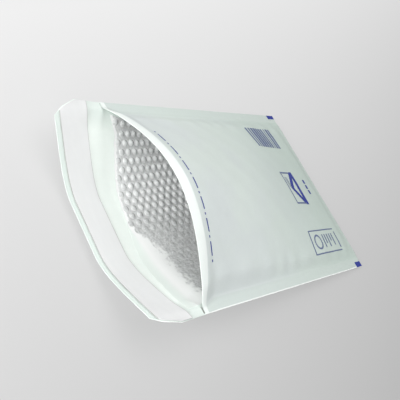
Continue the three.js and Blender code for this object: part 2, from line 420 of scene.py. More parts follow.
def arithmetic(operation: str, reflected: bool = False) -> Callable[..., "Field"]:
    """Makes an operator of fields.

    Args:
        operation: What its Math node works out.
        reflected: Whether the values come in turned order.

    Returns:
        The operator, whose first value is a field.
    """

    def operator(*values: "Value") -> "Field":
        """Adds a Math node and returns its result."""
        inputs = dict(enumerate(values[::-1] if reflected else values))
        return values[0].graph.field("ShaderNodeMath", 0, {"operation": operation}, inputs)

    return operator


class Field:
    """A socket's value. Its operators add Math nodes to the tree."""

    def __init__(self, graph: "Graph", socket: bpy.types.NodeSocket) -> None:
        """Keeps the socket and the tree that it belongs to."""
        self.graph = graph
        self.socket = socket

    __add__ = __radd__ = arithmetic("ADD")
    __mul__ = __rmul__ = arithmetic("MULTIPLY")
    __sub__ = arithmetic("SUBTRACT")
    __rsub__ = arithmetic("SUBTRACT", reflected=True)
    __truediv__ = arithmetic("DIVIDE")
    __pow__ = arithmetic("POWER")
    size = arithmetic("ABSOLUTE")
    at_least = arithmetic("MAXIMUM")
    at_most = arithmetic("MINIMUM")

    def eased(self, low: float, high: float) -> "Field":
        """Returns 0 below low, 1 above high, and a smooth step between them."""
        inputs = {"Value": self, "From Min": low, "From Max": high}
        return self.graph.field("ShaderNodeMapRange", 0, {"interpolation_type": "SMOOTHSTEP"}, inputs)

    def band(self, begin: Span, end: Span) -> "Field":
        """Returns 1 between the run in which a band begins and that in which it ends, and 0 beyond them."""
        return self.eased(*begin) * (1.0 - self.eased(*end))


Value = Field | float | int
Tint = Field | Colour


class Graph:
    """One node tree, and the only place where its nodes are made."""

    def __init__(self, tree: bpy.types.NodeTree) -> None:
        """Starts with an empty tree."""
        self.tree = tree
        tree.nodes.clear()

    def node(
        self, kind: str, settings: Options | None = None, inputs: Options | None = None
    ) -> bpy.types.Node:
        """Makes a node.

        Args:
            kind: The node's type.
            settings: Properties of the node, which are set first.
            inputs: Values, fields or lists of fields for the node's sockets, by name or index.

        Returns:
            The new node.
        """
        made = self.tree.nodes.new(kind)
        for name, value in (settings or {}).items():
            setattr(made, name, value)
        for key, value in (inputs or {}).items():
            for item in value if isinstance(value, list) else [value]:
                if isinstance(item, Field):
                    self.tree.links.new(item.socket, made.inputs[key])
                else:
                    made.inputs[key].default_value = item
        return made

    def field(
        self, kind: str, output: str | int, settings: Options | None = None, inputs: Options | None = None
    ) -> Field:
        """Makes a node and returns one of its outputs."""
        return Field(self, self.node(kind, settings, inputs).outputs[output])

    def parts(self, vector: Field) -> list[Field]:
        """Returns a vector's three numbers."""
        return [Field(self, part) for part in self.node("ShaderNodeSeparateXYZ", {}, {0: vector}).outputs]

    def vector(self, *parts: Value) -> Field:
        """Returns a vector of up to three numbers."""
        return self.field("ShaderNodeCombineXYZ", 0, {}, dict(enumerate(parts)))

    def place(self, kind: str = "Object") -> Field:
        """Returns the place in the frame, or that on the flat sheet where the kind is UV."""
        return self.field("ShaderNodeTexCoord", kind)

    def noise(self, place: Field, scale: float, detail: float = 2.0) -> Field:
        """Returns a noise of about 0 to 1."""
        return self.field("ShaderNodeTexNoise", 0, {}, {"Vector": place, "Scale": scale, "Detail": detail})

    def attribute(self, name: str) -> Field:
        """Returns a number that the mesh carries."""
        return self.field("ShaderNodeAttribute", "Fac", {"attribute_name": name})

    def mix(self, share: Value, first: Tint, second: Tint, blend: str = "MIX") -> Field:
        """Returns a mix of two colours, which holds the given share of the second one."""
        inputs = {k: tint if isinstance(tint, Field) else rgba(tint) for k, tint in ((6, first), (7, second))}
        return self.field("ShaderNodeMix", 2, {"data_type": "RGBA", "blend_type": blend}, inputs | {0: share})

    def shaded(self, colour: Field, shade: Field) -> Field:
        """Returns a colour times a grey shade."""
        grey = self.field("ShaderNodeCombineColor", 0, {}, dict.fromkeys(range(3), shade))
        return self.mix(1.0, colour, grey, "MULTIPLY")

    def relief(self, height: Field, strength: float, distance: float) -> Field:
        """Returns the normal of a fine relief of the given depth in metres."""
        inputs = {"Height": height, "Strength": strength, "Distance": distance}
        return self.field("ShaderNodeBump", "Normal", {}, inputs)

    def seen_directly(self) -> Field:
        """Marks what is seen by the camera, in a mirror or through glass.

        Returns:
            1 for what is seen so, and 0 for light on other things.
        """
        rays = self.node("ShaderNodeLightPath")
        kinds = ("Camera", "Glossy", "Transmission")
        seen, glossy, passing = (Field(self, rays.outputs[f"Is {kind} Ray"]) for kind in kinds)
        return (seen + glossy + passing).at_most(1.0)


def srgb(red: float, green: float, blue: float) -> Colour:
    """Returns the linear colour of an sRGB colour that is given from 0 to 255."""
    shares = (red / 255.0, green / 255.0, blue / 255.0)
    return tuple(c / 12.92 if c <= 0.04045 else ((c + 0.055) / 1.055) ** 2.4 for c in shares)


def rgba(colour: Colour) -> tuple[float, float, float, float]:
    """Returns a colour with full alpha."""
    return (*colour, 1.0)


class Finish:
    """A finish that makes one material and keeps it. A run holds two values, between which a look changes."""

    name: str

    @cached_property
    def material(self) -> bpy.types.Material:
        """The finish's material."""
        material = bpy.data.materials.new(self.name)
        material.use_nodes = True
        graph = Graph(material.node_tree)
        shader = graph.field("ShaderNodeBsdfPrincipled", "BSDF", {}, self.sockets(graph))
        graph.node("ShaderNodeOutputMaterial", {}, {"Surface": shader})
        return material

    def sockets(self, graph: Graph) -> dict[str, object]:
        """Returns the values and fields of the surface shader's sockets."""
        raise NotImplementedError


@dataclass(frozen=True)
class PaperFinish(Finish):
    """White mailing paper: bright where it lies free, and greener where the film behind it shows through. It
    has painted shade, with some greener tint, towards the closed end's fold, a painted dark line along that
    fold, painted shade beside the seams inside the pocket, and painted shadow in the narrow gaps at the
    mouth's corners.

    The flat sheet is given in metres: the two ends of its lined part, the fold between its panels, half its
    width and the width of its seams.
    """

    lined_from: float
    lined_to: float
    folded_at: float
    half_width: float
    seam: float
    name: str = "white_paper"
    free: Colour = srgb(237, 243, 240)
    lined: Colour = srgb(216, 225, 220)
    lined_cool: Colour = srgb(214, 221, 220)
    # Towards the closed end's fold the paper is greener, its own tint, and darker, which is painted shade.
    fold_tint_and_shade: Colour = srgb(194, 207, 200)
    inside: Colour = srgb(242, 249, 244)
    border: Colour = srgb(224, 234, 229)
    in_seam: Colour = srgb(201, 211, 206)
    # Painted shade on the inner face beside the seams, from the flap's root into the pocket.
    painted_corner_shade: Colour = srgb(222, 231, 226)
    # Painted shade: a dark line along the closed end's fold, where the paper turns away from the light.
    painted_fold_shade: Colour = srgb(138, 150, 144)
    # Painted shadow: dark thin gaps on the inner face at the mouth's corners, beside the upper panel's edge.
    slit_shadow: Colour = srgb(96, 98, 94)
    cut_edge: Colour = srgb(248, 251, 249)
    mottle_scale: float = 16.0
    cloud_scale: float = 144.0
    fibre_scale: float = 900.0
    mottle_run: Span = (0.35, 0.65)
    least_shade: float = 0.955
    fibre_shade: float = 0.05
    cloud_shade: float = 0.04
    seam_blur: float = 1.0 * MM
    lined_blur: float = 0.6 * MM
    seam_share: float = 0.7
    fold_share: float = 0.9
    lip_narrowing: float = 5.4 * MM
    narrowing_run: Span = (0.0, 50.0 * MM)
    painted_fold_shade_run: Span = (3.0 * MM, 5.2 * MM)
    cut_run: Span = (0.3 * MM, 1.3 * MM)
    cut_side: Span = (0.0, 1.0 * MM)
    border_run: Span = (-42.0 * MM, -41.0 * MM)
    corner_shade_reach: Span = (10.0 * MM, 26.0 * MM)
    corner_shade_run: Span = (-30.0 * MM, -12.0 * MM)
    slit_reach: tuple[Span, Span] = ((1.0 * MM, 2.0 * MM), (9.5 * MM, 12.0 * MM))
    slit_run: tuple[Span, Span] = ((-1.9 * MM, -1.1 * MM), (0.2 * MM, 1.0 * MM))
    slit_side: Span = (-85.0 * MM, -10.0 * MM)
    slit_least: float = 0.35
    slit_more: float = 0.5

    def sockets(self, graph: Graph) -> dict[str, object]:
        """Dresses the surface shader.

        Args:
            graph: The material's tree.

        Returns:
            Values and fields by socket.
        """
        place = graph.place()
        fibre = graph.noise(place, self.fibre_scale, detail=4.0)
        cloud = graph.noise(place, self.cloud_scale)
        mottle = graph.noise(place, self.mottle_scale, detail=3.0).eased(*self.mottle_run)
        across, along, _ = graph.parts(graph.place("UV"))
        sides = self._outer_face(graph, across, along, mottle), self._inner_face(graph, across, along)
        shade = self.least_shade + fibre * self.fibre_shade + cloud * self.cloud_shade
        return {
            "Base Color": graph.shaded(graph.mix(graph.attribute("inside"), *sides), shade),
            "Roughness": 0.58 + fibre * 0.18,
            "Specular IOR Level": 0.2,
            "Normal": graph.relief(fibre + cloud * 2.0, strength=0.25, distance=0.12 * MM),
        }

    def _outer_face(self, graph: Graph, across: Field, along: Field, mottle: Field) -> Field:
        """Colours the envelope's outside, with painted shade towards and along the closed end's fold.

        Args:
            graph: The material's tree.
            across: The place across the flat sheet.
            along: The place along it.
            mottle: Where the film behind the paper looks cooler.

        Returns:
            The colour.
        """
        reach = self.half_width - across.size()
        bonded = 1.0 - reach.eased(self.seam - self.seam_blur, self.seam + self.seam_blur)
        begun = along.eased(self.lined_from - self.lined_blur, self.lined_from + self.lined_blur)
        narrowed = (1.0 - reach.eased(*self.narrowing_run)) * self.lip_narrowing
        ended = (along - narrowed).eased(self.lined_to - self.lined_blur, self.lined_to + self.lined_blur)
        from_fold = (along - self.folded_at).size()
        # A share that grows towards the fold, for the greener tint and the painted shade there.
        fold_tint_and_shade_share = 1.0 - from_fold.eased(0.0, self.fold_share * (self.lined_to - self.folded_at))
        padded = graph.mix(mottle, self.lined, self.lined_cool)
        shaded = graph.mix(fold_tint_and_shade_share, padded, self.fold_tint_and_shade)
        # A dark line of painted shade along the fold.
        lined = graph.mix(from_fold.eased(*self.painted_fold_shade_run), self.painted_fold_shade, shaded)
        filled = graph.mix(bonded * self.seam_share, lined, self.in_seam)
        panel = graph.mix(begun * (1.0 - ended), self.free, filled)
        cut = (1.0 - reach.eased(*self.cut_run)) * across.eased(*self.cut_side)
        return graph.mix(cut, panel, self.cut_edge)

    def _inner_face(self, graph: Graph, across: Field, along: Field) -> Field:
        """Colours the flap and the inside of the pocket, with painted shade beside the seams and painted
        shadow in the narrow gaps at the mouth's corners.

        Args:
            graph: The material's tree.
            across: The place across the flat sheet.
            along: The place along it.

        Returns:
            The colour.
        """
        reach = self.half_width - across.size()
        flap = graph.mix(along.eased(*self.border_run), self.border, self.inside)
        # Painted shade beside the seams on the inner face.
        corner = (1.0 - reach.eased(*self.corner_shade_reach)) * along.eased(*self.corner_shade_run)
        dimmed = graph.mix(corner, flap, self.painted_corner_shade)
        # Painted shadow in the narrow gaps at the mouth's corners, deeper on one side.
        slit_shadow = reach.band(*self.slit_reach) * along.band(*self.slit_run)
        depth = self.slit_least + across.eased(*self.slit_side) * self.slit_more
        return graph.mix(slit_shadow * depth, dimmed, self.slit_shadow)


@dataclass(frozen=True)
class FilmFinish(Finish):
    """Glossy bubble film over white paper: grey, with painted shade down the bubbles' far sides and on their
    lit near sides, painted highlights near their tops, painted light near the film's left, and milky at its
    cut edges.
    """

    name: str = "bubble_film"
    # The crowns are a little darker than the feet: painted shade against the light that the crowns catch.
    foot: Colour = srgb(216, 217, 217)
    crown: Colour = srgb(211, 212, 212)
    # Milky white of the film's flattened cut edges, also used for the painted highlights on the bubbles.
    milky: Colour = srgb(254, 255, 254)
    bare: Colour = srgb(238, 246, 241)
    wrinkle_scale: float = 700.0
    grain_scale: float = 480.0
    edge_scale: float = 260.0
    worn_run: Span = (-18.0 * MM, 17.0 * MM)
    # Painted light: a paler band across the film near its left.
    painted_light_run: tuple[Span, Span] = ((-90.0 * MM, -55.0 * MM), (-40.0 * MM, 5.0 * MM))
    least_shade: float = 0.88
    painted_light_gain: float = 0.24
    chance_shade: float = 0.1
    wrinkle_shade: float = 0.16
    grain_shade: float = 0.55
    worn_grain: float = 0.6
    # Painted shade: darker down each bubble's far side, less so where the film is worn.
    painted_crescent_run: Span = (0.1, 0.9)
    painted_crescent_shade: float = 0.34
    painted_crescent_worn: float = 0.85
    # Painted shade on each bubble's lit near side, against the lamp light on it.
    painted_lit_side_run: Span = (0.0, 0.9)
    painted_lit_side_shade: float = 0.16
    crown_run: Span = (0.1, 0.95)
    # Painted highlight: a small bright spot on the lit side of each bubble, near its top, stronger on some
    # bubbles.
    spot_reach: float = 1.16
    spot_shift: float = 0.8
    spot_run: Span = (0.0, 0.16)
    spot_chance: Span = (0.0, 0.6)
    edge_mottle: float = 0.8
    edge_run: Span = (0.25, 0.55)
    bare_run: Span = (0.8, 1.0)

    def sockets(self, graph: Graph) -> dict[str, object]:
        """Dresses the surface shader.

        Args:
            graph: The material's tree.

        Returns:
            Values and fields by socket.
        """
        place = graph.place()
        wrinkle = graph.noise(place, self.wrinkle_scale, detail=3.0)
        rise, chance, milky = map(graph.attribute, ("bubble_rise", "bubble_shade", "milky"))
        mottle = (graph.noise(place, self.edge_scale, detail=3.0) - 0.5) * self.edge_mottle
        edge = (milky + mottle).eased(*self.edge_run)
        slope = graph.attribute("bubble_lean")
        film = graph.mix(rise.eased(*self.crown_run), self.foot, self.crown)
        even = self.least_shade + chance * self.chance_shade + wrinkle * self.wrinkle_shade
        shaded = graph.shaded(film, self._shade(graph, place, slope, even))
        # Painted highlight near each bubble's top.
        from_spot = self.spot_reach - rise * rise + slope * self.spot_shift
        painted_glint = (1.0 - from_spot.eased(*self.spot_run)) * chance.eased(*self.spot_chance)
        flat = graph.mix(milky.eased(*self.bare_run), self.milky, self.bare)
        return {
            "Base Color": graph.mix(edge, graph.mix(painted_glint, shaded, self.milky), flat),
            "Roughness": 0.16 + wrinkle * 0.14,
            "Specular IOR Level": 0.6,
            "Coat Weight": 0.35,
            "Coat Roughness": 0.08,
            "Normal": graph.relief(wrinkle * (1.0 - edge), strength=0.5, distance=0.5 * MM),
        }

    def _shade(self, graph: Graph, place: Field, slope: Field, even: Field) -> Field:
        """Shades the film: painted light makes it paler near its left, it is grainier where it is worn, and
        painted shade darkens its bubbles' far sides and, less, their lit near sides.

        Args:
            graph: The material's tree.
            place: The place in the frame.
            slope: The place along the bubble, from -1 at its near side to 1 at its far side.
            even: The shade without all that.

        Returns:
            The grey that the film's colour is multiplied by.
        """
        across, _, _ = graph.parts(place)
        worn = across.eased(*self.worn_run)
        grain = graph.noise(place, self.grain_scale, detail=4.0) - 0.5
        # Painted light in a band near the film's left.
        pale = even + across.band(*self.painted_light_run) * self.painted_light_gain
        grainy = pale + grain * (self.grain_shade + worn * self.worn_grain)
        # Painted shade down the bubbles' far sides.
        far = slope.eased(*self.painted_crescent_run) * (1.0 - worn * self.painted_crescent_worn)
        # Painted shade on the bubbles' lit near sides.
        near = (0.0 - slope).eased(*self.painted_lit_side_run)
        return grainy * (1.0 - far * self.painted_crescent_shade) * (1.0 - near * self.painted_lit_side_shade)


@dataclass(frozen=True)
class LinerFinish(Finish):
    """Smooth coated release paper with faint stretch marks along the strip, and painted shade along its cut
    edges.

    The strip's two long edges are given in metres from the mouth.
    """

    outer: float
    inner: float
    name: str = "release_paper"
    face: Colour = srgb(230, 231, 231)
    streak: Colour = srgb(228, 229, 229)
    # Painted shade: the darker colour along the strip's raised cut edges.
    cut_edge: Colour = srgb(188, 187, 186)
    stretch: Triple = (0.15, 1.0, 1.0)
    streak_scale: float = 220.0
    streak_run: Span = (0.3, 0.7)
    edge_run: Span = (0.25 * MM, 0.7 * MM)

    def sockets(self, graph: Graph) -> dict[str, object]:
        """Dresses the surface shader.

        Args:
            graph: The material's tree.

        Returns:
            Values and fields by socket.
        """
        drawn = graph.field("ShaderNodeMapping", 0, {}, {"Vector": graph.place(), "Scale": self.stretch})
        streaks = graph.noise(drawn, self.streak_scale)
        _, along, _ = graph.parts(graph.place("UV"))
        from_edge = (along + self.outer).size().at_most((along + self.inner).size())
        face = graph.mix(streaks.eased(*self.streak_run), self.face, self.streak)
        return {
            # Painted shade along the cut edges.
            "Base Color": graph.mix(from_edge.eased(*self.edge_run), self.cut_edge, face),
            "Roughness": 0.34 + streaks * 0.12,
            "Coat Weight": 0.12,
            "Coat Roughness": 0.3,
            "Normal": graph.relief(streaks, strength=0.2, distance=0.08 * MM),
        }


@dataclass(frozen=True)
class GlueFinish(Finish):
    """Tacky cream-coloured glue, laid on in fine runs."""

    name: str = "closing_glue"
    thin: Colour = srgb(232, 226, 200)
    thick: Colour = srgb(214, 202, 160)
    streak_scale: float = 300.0
    streak_run: Span = (0.3, 0.7)

    def sockets(self, graph: Graph) -> dict[str, object]:
        """Dresses the surface shader.

        Args:
            graph: The material's tree.

        Returns:
            Values and fields by socket.
        """
        streaks = graph.noise(graph.place(), self.streak_scale, detail=3.0)
        return {
            "Base Color": graph.mix(streaks.eased(*self.streak_run), self.thin, self.thick),
            "Roughness": 0.18 + streaks * 0.2,
            "Coat Weight": 0.3,
            "Normal": graph.relief(streaks, strength=0.4, distance=0.2 * MM),
        }


@dataclass(frozen=True)
class InkFinish(Finish):
    """Printing ink that has soaked into the paper and lets a little of it show."""

    name: str
    ink: Colour
    worn: Colour
    grain_scale: float = 1400.0
    grain_run: Span = (0.45, 0.8)
    worn_share: float = 0.5

    def sockets(self, graph: Graph) -> dict[str, object]:
        """Dresses the surface shader.

        Args:
            graph: The material's tree.

        Returns:
            Values and fields by socket.
        """
        grain = graph.noise(graph.place(), self.grain_scale)
        return {
            "Base Color": graph.mix(grain.eased(*self.grain_run) * self.worn_share, self.ink, self.worn),
            "Roughness": 0.5 + grain * 0.15,
            "Specular IOR Level": 0.2,
        }


@dataclass(frozen=True)
class TableFinish(Finish):
    """Pale grey table top that darkens evenly from one corner to the other, a painted light falloff, and
    keeps a light shadow.

    Its fall is the darkening for each metre across and along, and at the middle.
    """

    name: str = "pale_table"
    # The two ends of a painted light falloff across the table.
    near: Colour = srgb(235, 235, 235)
    far: Colour = srgb(183, 183, 183)
    black: Colour = (0.0, 0.0, 0.0)
    fall: Triple = (1.92, 0.49, 0.48)
    own_light: float = 0.74

    def sockets(self, graph: Graph) -> dict[str, object]:
        """Dresses the surface shader.

        Args:
            graph: The material's tree.

        Returns:
            Values and fields by socket.
        """
        across, along, _ = graph.parts(graph.place())
        by_x, by_y, at_middle = self.fall
        # Painted light falloff across the table.
        darker = (across * by_x + along * by_y + at_middle).at_least(0.0).at_most(1.0)
        tone = graph.mix(darker, self.near, self.far)
        own = graph.seen_directly() * self.own_light
        return {
            "Base Color": graph.mix(own, tone, self.black),
            "Roughness": 0.9,
            "Specular IOR Level": 0.1,
            "Emission Color": graph.mix(own, self.black, tone),
            "Emission Strength": 1.0,
        }


class SheetMesh:
    """Points and faces of a thin sheet, welded where its layers meet."""

    def __init__(self) -> None:
        """Starts with no points."""
        self.points: list[Array] = []
        self.flat: list[Array] = []
        self.sides: list[Array] = []
        self.quads: list[Array] = []
        self.count = 0

    def lay(
        self, form: EnvelopeForm, rows: Sequence[Row], columns: Array, depths: Span
    ) -> tuple[Array, Array]:
        """Adds the two faces of a sheet as grids of points.

        Args:
            form: The envelope's form.
            rows: The rows of the sheet.
            columns: The places across it.
            depths: Depths of the two faces below the paper's outer face.

        Returns:
            The numbers of the points of the back and of the front, which looks into the pocket.
        """
        lines = [form.line(row, columns) for row in rows]
        along = [form.along(row) for row in rows]
        flat = np.stack(np.meshgrid(columns, along), axis=-1)
        grids = []
        for depth, side in zip(depths, (Layer.OUTSIDE, Layer.INSIDE), strict=True):
            points = np.stack([point + inward * depth for point, inward in lines])
            size = len(rows) * len(columns)
            grids.append(np.arange(size).reshape(len(rows), len(columns)) + self.count)
            self.count += size
            self.points.append(points.reshape(-1, 3))
            self.flat.append(flat.reshape(-1, 2))
            self.sides.append(np.full(size, side.value))
        return grids[0], grids[1]

    def close(self, back: Array, front: Array, keep: Array | None = None) -> None:
        """Adds the faces of both grids and the four cut edges between them.

        Args:
            back: The numbers of the back's points.
            front: The numbers of the front's points.
            keep: Which cells of the front are made, or all of them.
        """
        every = np.ones((len(back) - 1, back.shape[1] - 1), bool)
        for grid, cells in ((back, every), (front, every if keep is None else keep)):
            quads = np.stack([grid[:-1, :-1], grid[:-1, 1:], grid[1:, 1:], grid[1:, :-1]], axis=-1)[cells]
            self.quads.append(quads[:, ::-1] if grid is back else quads)
        for first, second in (
            (back[0], front[0]),
            (front[-1], back[-1]),
            (front[:, 0], back[:, 0]),
            (back[:, -1], front[:, -1]),
        ):
            self.quads.append(np.stack([first[:-1], first[1:], second[1:], second[:-1]], axis=-1))

    def mesh(self, name: str) -> Mesh:
        """Welds the points.

        Args:
            name: The mesh's name.

        Returns:
            The mesh, in metres, with its flat UV map and its side values.
        """
        points = np.concatenate(self.points)
        keys = np.round(points * WELDS_PER_MM).astype(np.int64)
        _, first, welded = np.unique(keys, axis=0, return_index=True, return_inverse=True)
        quads = welded.reshape(-1)[np.concatenate(self.quads)]
        faces = [list(dict.fromkeys(quad)) for quad in quads.tolist()]
        faces = [face for face in faces if len(face) > 2]
        mesh = plain_mesh(name, points[first] * MM, faces)
        corners = np.zeros(len(mesh.loops), np.int32)
        mesh.loops.foreach_get("vertex_index", corners)
        flat = np.concatenate(self.flat)[first] * MM
        mesh.uv_layers.new(name="flat").data.foreach_set("uv", flat[corners].ravel())
        carry(mesh, "inside", np.concatenate(self.sides)[first])
        return mesh


def plain_mesh(name: str, points: Array | Sequence[Place], faces: Sequence[Sequence[int]]) -> Mesh:
    """Makes a mesh.

    Args:
        name: The mesh's name.
        points: Its points.
        faces: The numbers of each face's points.

    Returns:
        The mesh.
    """
    mesh = bpy.data.meshes.new(name)
    mesh.from_pydata(points, [], faces)
    mesh.update()
    return mesh


def carry(mesh: Mesh, name: str, values: Array, domain: str = "POINT") -> None:
    """Gives a mesh's points or corners a number or a vector each, under a name.

    Args:
        mesh: The mesh.
        name: The values' name.
        values: The values, one for each point or corner.
        domain: What carries them, POINT or CORNER.
    """
    kind, key = ("FLOAT", "value") if values.ndim == 1 else ("FLOAT_VECTOR", "vector")
    mesh.attributes.new(name, kind, domain).data.foreach_set(key, values.ravel().astype(np.float32))


def add_piece(
    name: str, mesh: Mesh, finish: Finish, node: str | None = None, sharp_from: float = 40.0
) -> None:
    """Adds a finished piece to the scene, riding on the one body.

    Args:
        name: The piece's name.
        mesh: Its mesh, in metres, in the frame's place.
        finish: Its finish.
        node: The solid whose place it takes, if it takes one.
        sharp_from: The angle in degrees from which an edge stays sharp.
    """
    mesh.materials.clear()
    mesh.materials.append(finish.material)
    mesh.shade_smooth()
    mesh.set_sharp_from_angle(angle=math.radians(sharp_from))
    piece = bpy.data.objects.new(name, mesh)
    bpy.context.scene.collection.objects.link(piece)
    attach(piece, BODY)
    if node:
        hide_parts(node)
    LOG.info("%s: %d faces", name, len(mesh.polygons))


class Recipe:
    """A Geometry Nodes tree with named inputs, which is turned into a plain mesh."""

    KINDS = {int: "Int", float: "Float", tuple: "Vector", bpy.types.Material: "Material"}

    def __init__(self, name: str, **values: object) -> None:
        """Starts a tree that takes and gives a geometry.

        Args:
            name: The tree's name.
            **values: The tree's other inputs, one of which is the material.
        """
        self.name = name
        self.tree = bpy.data.node_groups.new(name, "GeometryNodeTree")
        self.graph = Graph(self.tree)
        for way in ("INPUT", "OUTPUT"):
            self.tree.interface.new_socket("geometry", in_out=way, socket_type="NodeSocketGeometry")
        self.values: dict[str, object] = {}
        for key, value in values.items():
            kind = f"NodeSocket{self.KINDS[type(value)]}"
            self.values[self.tree.interface.new_socket(key, socket_type=kind).identifier] = value
        self.source = self.graph.node("NodeGroupInput")

    def given(self, name: str) -> Field:
        """Returns one of the tree's inputs."""
        return Field(self.graph, self.source.outputs[name])

    def store(self, geometry: Field, name: str, value: Field, domain: str = "POINT") -> Field:
        """Returns a geometry that carries a number under a name."""
        inputs = {"Geometry": geometry, "Name": name, "Value": value}
        return self.graph.field("GeometryNodeStoreNamedAttribute", 0, {"domain": domain}, inputs)

    def carried(self, name: str, kind: str = "FLOAT") -> Field:
        """Returns a value that the geometry's points carry."""
        return self.graph.field("GeometryNodeInputNamedAttribute", 0, {"data_type": kind}, {"Name": name})

    def chance(self, least: Value = 0.0, most: Value = 1.0) -> Field:
        """Returns a random number between two limits for each point, from the input named seed."""
        inputs = {2: least, 3: most, "Seed": self.given("seed")}
        return self.graph.field("FunctionNodeRandomValue", 1, {"data_type": "FLOAT"}, inputs)

    def places(self, count: str, step: Field) -> Field:
        """Returns a row of points from the input named start, with the given step."""
        inputs = {"Count": self.given(count), "Start Location": self.given("start"), "Offset": step}
        return self.graph.field("GeometryNodeMeshLine", 0, {"mode": "OFFSET"}, inputs)

    def patch(self, length: Value, width: Value, points: int) -> Field:
        """Returns a flat strip with the given number of points along each side."""
        inputs = {"Size X": length, "Size Y": width, "Vertices X": points, "Vertices Y": 2}
        return self.graph.field("GeometryNodeMeshGrid", "Mesh", {}, inputs)

    def stand(self, points: Field, shape: Field, **more: Field) -> Field:
        """Returns a copy of a shape on each point, turned and sized as more says."""
        inputs = {"Points": points, "Instance": shape, **more}
        return self.graph.field("GeometryNodeInstanceOnPoints", 0, {}, inputs)

    def mesh(self, geometry: Field, start: Mesh) -> Mesh:
        """Ends the tree in real meshes with their material, and runs it on a mesh.

        Args:
            geometry: What the tree has made.
            start: The mesh that it starts from.

        Returns:
            The result as a plain mesh.
        """
        real = self.graph.field("GeometryNodeRealizeInstances", 0, {}, {"Geometry": geometry})
        inputs = {"Geometry": real, "Material": self.given("material")}
        dressed = self.graph.field("GeometryNodeSetMaterial", 0, {}, inputs)
        self.graph.node("NodeGroupOutput", {}, {"geometry": dressed})
        carrier = bpy.data.objects.new(self.name, start)
        bpy.context.scene.collection.objects.link(carrier)
        modifier = carrier.modifiers.new(self.name, "NODES")
        modifier.node_group = self.tree
        for identifier, value in self.values.items():
            modifier[identifier] = value
        carrier.update_tag()
        bpy.context.view_layer.update()
        graph = bpy.context.evaluated_depsgraph_get()
        made = bpy.data.meshes.new_from_object(carrier.evaluated_get(graph), depsgraph=graph)
        carrier.modifiers.remove(modifier)
        bpy.data.objects.remove(carrier)
        return made


@dataclass
class PaperPocket:
    """The folded paper sheet, from the flap's edge round the closed end and back to the mouth."""

    form: EnvelopeForm
    finish: Finish
    flap_rows: int = 30
    flap_root: float = 1.0
    panel_rows: int = 140
    lip_rows: int = 28
    lip_run: float = 2.0
    fold_rows: int = 10
    seam_columns: int = 4
    ramp_columns: int = 7
    half_columns: int = 38

    def columns(self) -> Array:
        """Finds where the sheet has points, closer together at its seams and beside them.

        Returns:
            The places across it, in millimetres.
        """
        form = self.form
        ramp = form.pocket_half - form.pad_ramp
        runs = (
            np.linspace(0.0, ramp, self.half_columns, endpoint=False),
            np.linspace(ramp, form.pocket_half, self.ramp_columns, endpoint=False),
            np.linspace(form.pocket_half, form.half, self.seam_columns),
        )
        half = np.concatenate(runs)
        return np.concatenate([-half[:0:-1], half])

    def pocket_lines(self) -> list[Row]:
        """Finds the rows of the pocket, closer together at its mouth.

        Returns:
            The rows, from the lower mouth edge to the upper one.
        """
        start, end = self.lip_run * self.form.lip, self.form.fold_start
        near = np.linspace(0.0, start, self.lip_rows, endpoint=False)
        far = np.linspace(start, end, self.panel_rows - self.lip_rows, endpoint=False)
        places = np.concatenate([near, far])
        return [
            *(Row(Panel.LOWER, place) for place in places),
            *(Row(Panel.FOLD, angle) for angle in np.linspace(0.0, math.pi, self.fold_rows)),
            *(Row(Panel.UPPER, place) for place in places[::-1]),
        ]

    def build(self) -> None:
        """Builds the sheet, whose inner faces are left out where its seams are bonded."""
        flap = self.form.flap_lines(self.form.flap, self.flap_root, self.flap_rows)
        rows = flap + self.pocket_lines()
        columns = self.columns()
        sheet = SheetMesh()
        outer, inner = sheet.lay(self.form, rows, columns, (0.0, self.form.paper))
        free = np.zeros((len(rows) - 1, len(columns) - 1), bool)
        free[: len(flap)] = True
        middles = (columns[:-1] + columns[1:]) / 2.0
        free[:, np.abs(middles) < self.form.pocket_half] = True
        sheet.close(outer, inner, free)
        add_piece("paper_sheet", sheet.mesh("paper_sheet"), self.finish, "paper_pocket")


